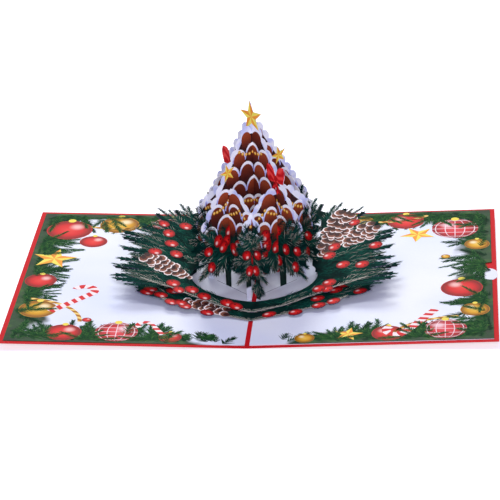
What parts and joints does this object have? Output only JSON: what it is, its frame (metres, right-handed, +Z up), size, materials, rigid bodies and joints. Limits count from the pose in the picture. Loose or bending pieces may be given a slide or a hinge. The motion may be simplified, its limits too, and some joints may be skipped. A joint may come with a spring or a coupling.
{
  "type": "pop up card",
  "caption": "Greetings card opened flat, with a slotted paper tree and a raised die-cut wreath that stand up over its fold.",
  "frame": {"origin": "middle of the fold, on its underside, where the open card rests", "axes": "+X across the open card towards the leaf with the thumb notch, +Y along the fold away from the reader, +Z up"},
  "size_m": [0.2998, 0.2, 0.1197],
  "materials": {
    "red_card": "red coated card with a smooth matte face",
    "printed_card": "white card with a printed fir border",
    "plain_card": "unprinted white card",
    "tree_card": "die-cut card printed brown with white snow, gold stars and dark green fir",
    "wreath_card": "die-cut card printed with fir, cones and berries"
  },
  "bodies": {
    "root": {"cover": "red_card", "left_liner": "printed_card", "right_liner": "printed_card", "pocket_spacer": "plain_card", "note_card": "plain_card", "tree_panel_rising_centre": "tree_card", "tree_panel_rising_front": "tree_card", "tree_panel_rising_back": "tree_card", "tree_panel_falling_centre": "tree_card", "tree_panel_falling_front": "tree_card", "tree_panel_falling_back": "tree_card", "wreath_lower": "wreath_card", "wreath_upper": "wreath_card", "brace_lower_left": "plain_card", "brace_lower_right": "plain_card", "brace_upper_left": "plain_card", "brace_upper_right": "plain_card"}
  },
  "joints": []
}
